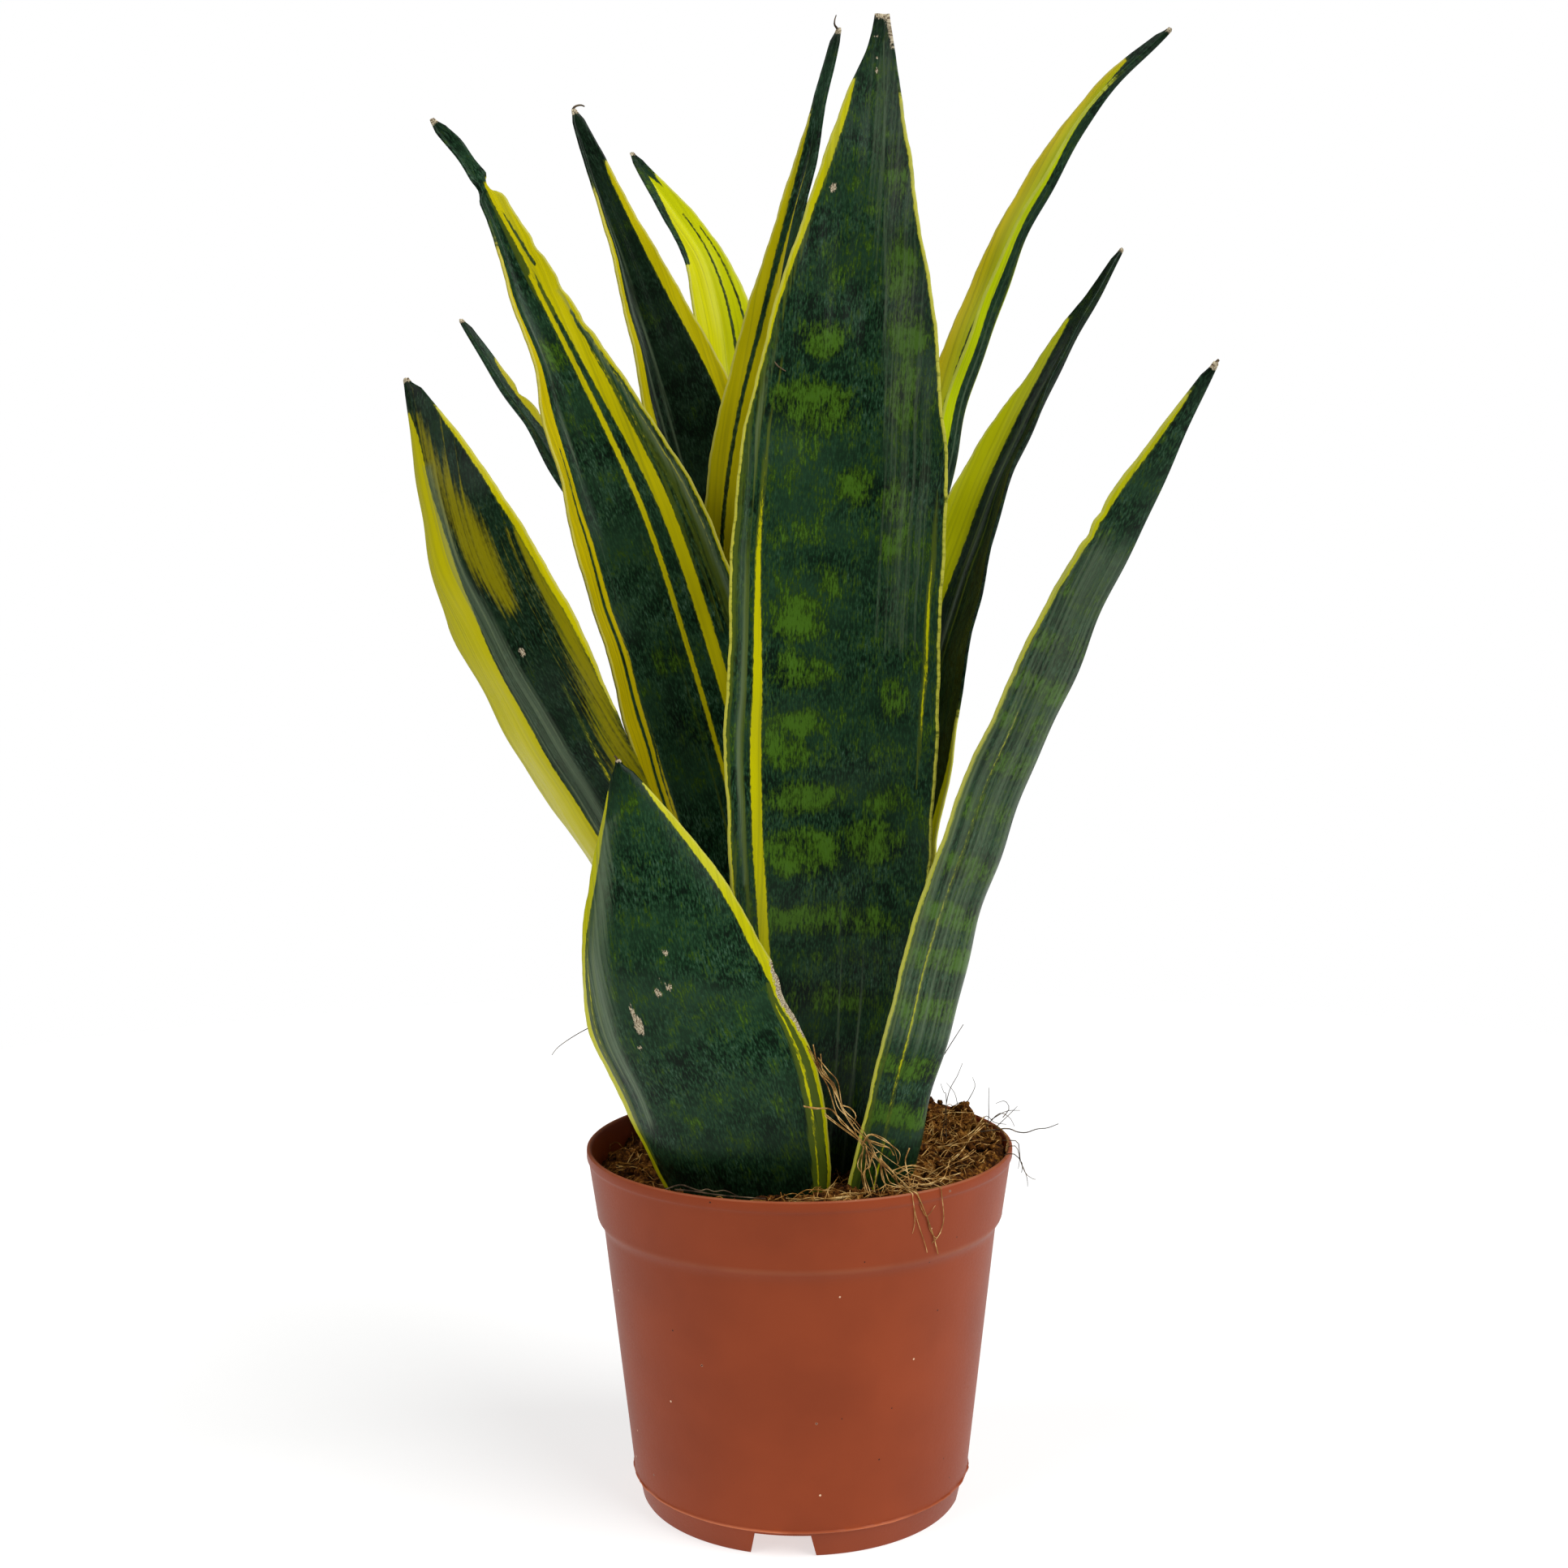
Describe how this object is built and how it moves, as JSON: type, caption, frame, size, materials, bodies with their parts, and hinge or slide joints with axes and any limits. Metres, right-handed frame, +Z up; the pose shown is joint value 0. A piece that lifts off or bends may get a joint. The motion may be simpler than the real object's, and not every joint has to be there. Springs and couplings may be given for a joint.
{
  "type": "potted snake plant",
  "caption": "Upright sword-shaped variegated leaves standing in coir soil in a round tapered nursery pot with a wide rim band and a notched foot ring.",
  "frame": {"origin": "centre of the plant's box, which is the pot's axis, on the surface that the pot stands on", "axes": "+Z up along the pot's axis; the front of the plant, which the picture shows, looks along -Y; +X is to its right as seen from the front"},
  "size_m": [0.2134, 0.1617, 0.4134],
  "materials": {
    "pot_plastic": "satin moulded polypropylene, terracotta brown",
    "coir_soil": "loose moist coir and peat crumbs",
    "leaf_dark": "waxy dark green skin with paler bands and yellow margins",
    "leaf_yellow": "waxy yellow-green skin with dark stripes",
    "root_fibre": "dry fibrous roots"
  },
  "bodies": {
    "root": {"pot": "pot_plastic", "soil": "coir_soil", "leaf_front_tall": "leaf_dark", "leaf_front_short": "leaf_dark", "leaf_front_right": "leaf_dark", "leaf_left_striped": "leaf_dark", "leaf_far_left": "leaf_dark", "leaf_left_back": "leaf_dark", "leaf_centre_dark": "leaf_dark", "leaf_centre_slim": "leaf_dark", "leaf_back_yellow": "leaf_yellow", "leaf_right_tall": "leaf_yellow", "leaf_right_middle": "leaf_dark", "roots": "root_fibre"}
  },
  "joints": []
}
